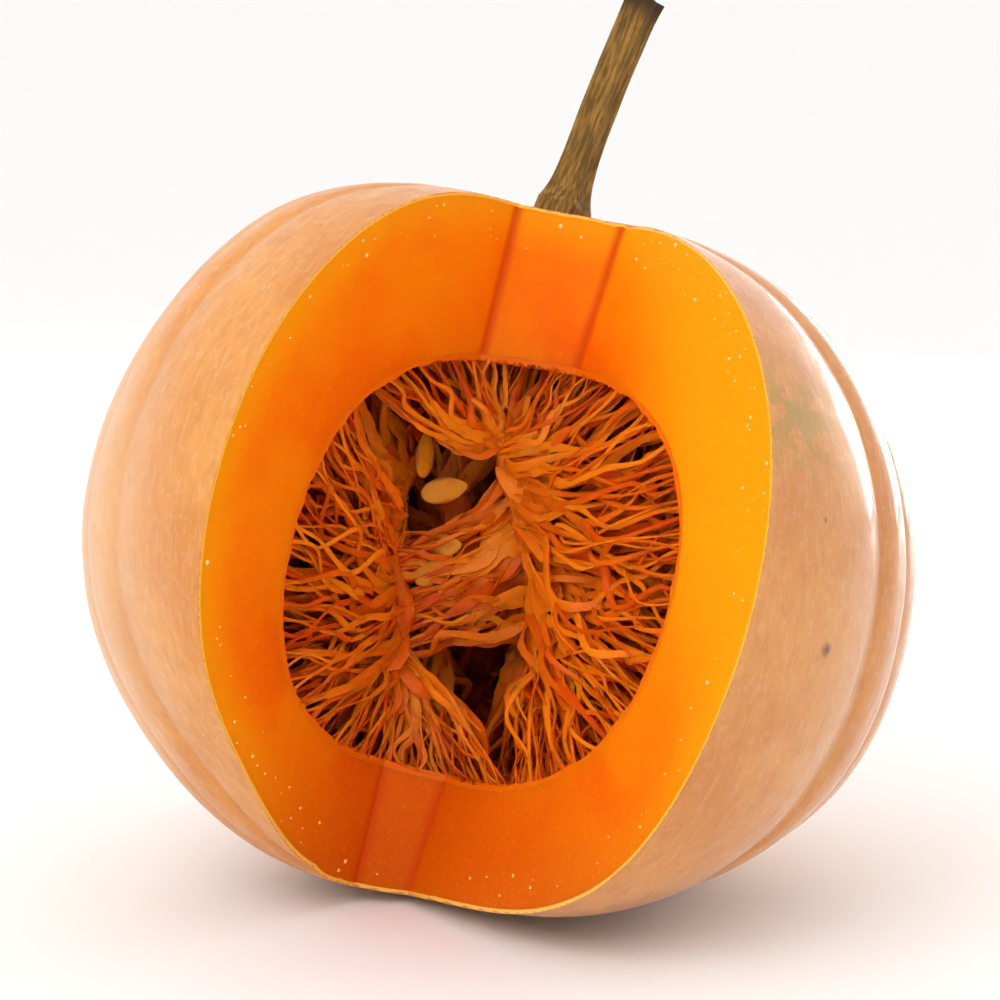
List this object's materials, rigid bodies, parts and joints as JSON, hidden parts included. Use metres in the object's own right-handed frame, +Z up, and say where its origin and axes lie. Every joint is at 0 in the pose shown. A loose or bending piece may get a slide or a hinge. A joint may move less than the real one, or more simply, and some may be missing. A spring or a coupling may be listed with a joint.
{
  "type": "cut pumpkin",
  "caption": "Ribbed squat pumpkin with a wedge cut out, thick flesh round a stringy seed cavity, and a dry leaning stem.",
  "frame": {"origin": "on the surface it stands on, under the middle of the whole object", "axes": "+Z up, the cut wedge opens towards -Y, +X to the right as seen from the cut"},
  "size_m": [0.3206, 0.2936, 0.3487],
  "materials": {
    "rind": "waxy skin with a pale bloom",
    "flesh": "moist cut flesh",
    "pulp": "wet stringy fibre",
    "stem": "dry, dull and fibrous",
    "seed": "wet cream seed coat"
  },
  "bodies": {
    "root": {"rind": "rind", "flesh": "flesh", "pulp": "pulp", "stem": "stem", "seed_01": "seed", "seed_02": "seed", "seed_03": "seed", "seed_04": "seed", "seed_05": "seed", "seed_06": "seed", "seed_07": "seed", "seed_08": "seed", "seed_09": "seed", "seed_10": "seed", "seed_11": "seed", "seed_12": "seed", "seed_13": "seed", "seed_14": "seed", "seed_15": "seed", "seed_16": "seed", "seed_17": "seed", "seed_18": "seed", "seed_19": "seed", "seed_20": "seed", "seed_21": "seed", "seed_22": "seed", "seed_23": "seed", "seed_24": "seed", "seed_25": "seed", "seed_26": "seed", "seed_27": "seed", "seed_28": "seed", "seed_29": "seed", "seed_30": "seed", "seed_31": "seed", "seed_32": "seed"}
  },
  "joints": []
}
